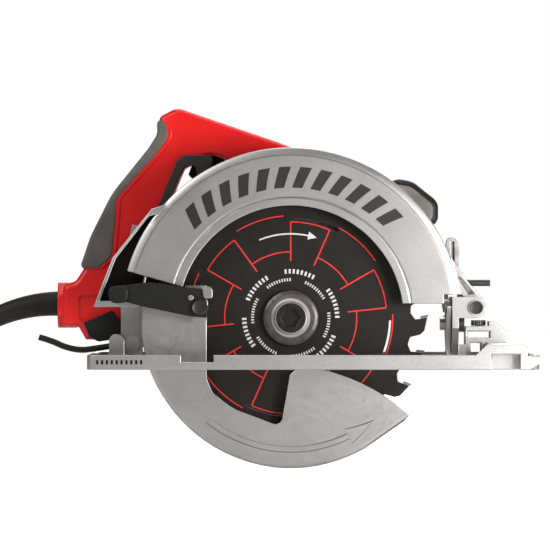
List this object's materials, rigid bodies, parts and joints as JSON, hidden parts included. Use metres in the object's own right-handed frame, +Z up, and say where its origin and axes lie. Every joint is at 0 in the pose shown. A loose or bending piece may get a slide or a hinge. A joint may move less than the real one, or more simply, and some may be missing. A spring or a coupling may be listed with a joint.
{
  "type": "circular saw",
  "caption": "Handheld circular saw with right-side blade, swinging lower guard, tilting foot with depth and bevel adjustment, rear trigger handle, front knob and mains lead.",
  "frame": {"origin": "on the sole plane, under the arbor axis, in the blade's plane, at full cutting depth and no bevel", "axes": "+X is the cutting direction (front), +Y is to the motor's side (left), +Z is up; the blade's open side faces -Y"},
  "size_m": [0.5086, 0.2432, 0.2407],
  "materials": {
    "cast_magnesium": "bead-blasted cast magnesium",
    "guard_sheet": "satin lower guard",
    "red_nylon": "glass-filled nylon, light texture",
    "black_nylon": "moulded black nylon",
    "soft_grip": "over-moulded soft grip",
    "blade_steel": "black coated saw plate",
    "carbide": "ground carbide",
    "dark_steel": "black oxide",
    "bright_steel": "zinc plated",
    "gear_steel": "machined, oiled",
    "laminated_steel": "stacked laminations",
    "copper": "enamelled wire",
    "carbon": "pressed carbon",
    "brass": "drawn brass",
    "cord_rubber": "jacketed cord"
  },
  "bodies": {
    "saw_body": {"upper_guard": "cast_magnesium", "gear_case": "cast_magnesium", "gear_case_screws": "dark_steel", "bearing_outer_races": "gear_steel", "motor_housing": "red_nylon", "motor_end_cap": "black_nylon", "fan_baffle": "black_nylon", "field_core": "laminated_steel", "field_coils": "copper", "brush_holders": "brass", "carbon_brushes": "carbon", "brush_springs": "bright_steel", "brush_caps": "black_nylon", "handle_shell_right": "red_nylon", "handle_shell_left": "red_nylon", "handle_grip": "soft_grip", "heel_bumper": "soft_grip", "handle_screws": "dark_steel", "switch_body": "black_nylon", "trigger_pin": "bright_steel", "front_handle": "black_nylon", "front_handle_screws": "dark_steel", "depth_bolt": "bright_steel", "cord_boot": "cord_rubber", "power_cord": "cord_rubber", "cord_coil": "cord_rubber", "mains_plug": "cord_rubber"},
    "trigger_body": {"trigger": "black_nylon"},
    "wrench": {"blade_wrench": "dark_steel"},
    "lock_button": {"spindle_lock": "black_nylon"},
    "blade_drive": {"blade": "blade_steel", "blade_tips": "carbide", "inner_flange": "dark_steel", "outer_flange": "dark_steel", "blade_bolt": "dark_steel", "spindle": "gear_steel", "spindle_gear": "gear_steel", "spindle_bearing_inner": "gear_steel"},
    "armature": {"armature_shaft": "gear_steel", "armature_core": "laminated_steel", "armature_windings": "copper", "commutator": "copper", "cooling_fan": "black_nylon", "armature_bearing_inners": "gear_steel"},
    "swing_guard": {"lower_guard": "guard_sheet", "guard_lever": "black_nylon", "guard_lever_bolts": "dark_steel"},
    "tilt_frame": {"front_bracket": "cast_magnesium", "depth_pivot_pin": "bright_steel", "bevel_clamp_bolt": "bright_steel", "bevel_stop_pin": "bright_steel", "depth_arc": "bright_steel"},
    "bevel_clamp": {"bevel_lever": "dark_steel"},
    "bevel_stop": {"bevel_stop_lever": "bright_steel"},
    "depth_clamp": {"depth_lever": "black_nylon"},
    "foot": {"foot_plate": "cast_magnesium", "bevel_quadrant": "bright_steel", "bevel_pins": "bright_steel"},
    "guide_screw": {"rip_guide_screw": "dark_steel"}
  },
  "joints": [
    {"name": "trigger_pull", "type": "hinge", "parent": "saw_body", "child": "trigger_body", "pos_m": [-0.037, 0.042, 0.144], "axis": [0, 1, 0], "range_deg": [0, 10], "stiffness_Nm_per_rad": 0.1, "springref_deg": -11.46},
    {"name": "wrench_unclip", "type": "slide", "parent": "saw_body", "child": "wrench", "axis": [0, -1, 0], "range_m": [0, 0.007]},
    {"name": "lock_press", "type": "slide", "parent": "saw_body", "child": "lock_button", "axis": [-1, 0, 0], "range_m": [0, 0.003], "stiffness_N_per_m": 400, "springref_m": -0.003},
    {"name": "blade_spin", "type": "hinge", "parent": "saw_body", "child": "blade_drive", "pos_m": [0, 0, 0.03375], "axis": [0, -1, 0], "continuous": true},
    {"name": "armature_spin", "type": "hinge", "parent": "saw_body", "child": "armature", "pos_m": [-0.00797, 0, 0.0635], "axis": [0, -1, 0], "continuous": true},
    {"name": "guard_swing", "type": "hinge", "parent": "saw_body", "child": "swing_guard", "pos_m": [0, 0, 0.03375], "axis": [0, 1, 0], "range_deg": [0, 125], "stiffness_Nm_per_rad": 0.3, "springref_deg": -40.11},
    {"name": "depth_tilt", "type": "hinge", "parent": "saw_body", "child": "tilt_frame", "pos_m": [0.1231, 0, 0.0407], "axis": [0, -1, 0], "range_deg": [0, 18]},
    {"name": "bevel_tilt", "type": "hinge", "parent": "tilt_frame", "child": "foot", "pos_m": [0, 0, 0.004], "axis": [-1, 0, 0], "range_deg": [0, 50]},
    {"name": "bevel_lever_turn", "type": "hinge", "parent": "tilt_frame", "child": "bevel_clamp", "pos_m": [0.114, 0.02342, 0.03001], "axis": [-1, 0, 0], "range_deg": [0, 60]},
    {"name": "bevel_stop_turn", "type": "hinge", "parent": "tilt_frame", "child": "bevel_stop", "pos_m": [0.105, 0.033, 0.042], "axis": [-1, 0, 0], "range_deg": [0, 25], "stiffness_Nm_per_rad": 0.1, "springref_deg": -11.46},
    {"name": "depth_lever_turn", "type": "hinge", "parent": "saw_body", "child": "depth_clamp", "pos_m": [-0.10568, 0.02, 0.017], "axis": [0, 1, 0], "range_deg": [0, 45]},
    {"name": "guide_screw_turn", "type": "hinge", "parent": "foot", "child": "guide_screw", "pos_m": [0.1265, 0.032, 0.028], "axis": [0, 0, 1], "range_deg": [0, 360]}
  ],
  "couplings": [
    {"joint": "armature_spin", "follows": "blade_spin", "ratio": -5.2222}
  ]
}
